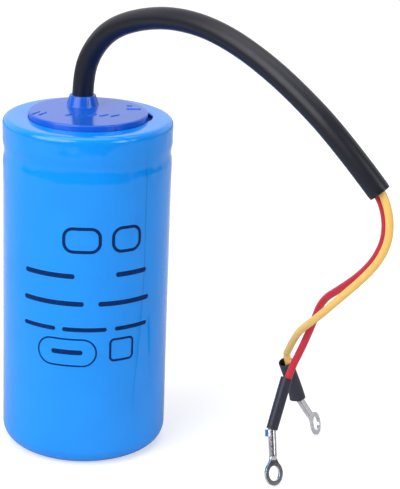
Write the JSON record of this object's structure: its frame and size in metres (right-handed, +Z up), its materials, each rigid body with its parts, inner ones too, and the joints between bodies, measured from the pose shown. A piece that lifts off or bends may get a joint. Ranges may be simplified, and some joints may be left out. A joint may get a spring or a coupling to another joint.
{
  "type": "motor start capacitor",
  "caption": "Upright round metal can in glossy blue shrink film, closed by a moulded cover whose gland grips a sheathed lead that splits into wires with ring terminals.",
  "frame": {"origin": "centre of the can's base, on the surface it stands on", "axes": "+Z up along the can towards the cover; +X to the side the lead swings to; -Y to the side it comes forward to"},
  "size_m": [0.1068, 0.0915, 0.1393],
  "materials": {
    "blue_film": "glossy shrunk film",
    "can_metal": "drawn, bare",
    "blue_moulding": "glossy moulded",
    "seal_rubber": "matt",
    "laminate": "pressed laminate",
    "tab_metal": "bright",
    "tinned_metal": "tin plated",
    "tinned_strands": "tinned strands",
    "winding": "impregnated paper and foil",
    "fibre": "plain",
    "black_sheath": "soft satin",
    "black_sleeving": "soft satin",
    "yellow_insulation": "soft gloss",
    "red_insulation": "soft gloss"
  },
  "bodies": {
    "root": {"film_sleeve": "blue_film", "can": "can_metal", "cover": "blue_moulding", "seal_ring": "seal_rubber", "terminal_disc": "laminate", "rivet_yellow": "tab_metal", "rivet_red": "tab_metal", "solder_tag_yellow": "tinned_metal", "solder_tag_red": "tinned_metal", "foil_tab_yellow": "tab_metal", "foil_tab_red": "tab_metal", "inner_core_yellow": "yellow_insulation", "inner_core_red": "red_insulation", "wound_element": "winding", "base_washer": "fibre", "cable_sheath": "black_sheath", "wire_yellow": "yellow_insulation", "wire_red": "red_insulation", "end_sleeve_yellow": "black_sleeving", "end_sleeve_red": "black_sleeving", "conductor_yellow": "tinned_strands", "conductor_red": "tinned_strands", "ring_lug_yellow": "tinned_metal", "ring_lug_red": "tinned_metal"}
  },
  "joints": []
}
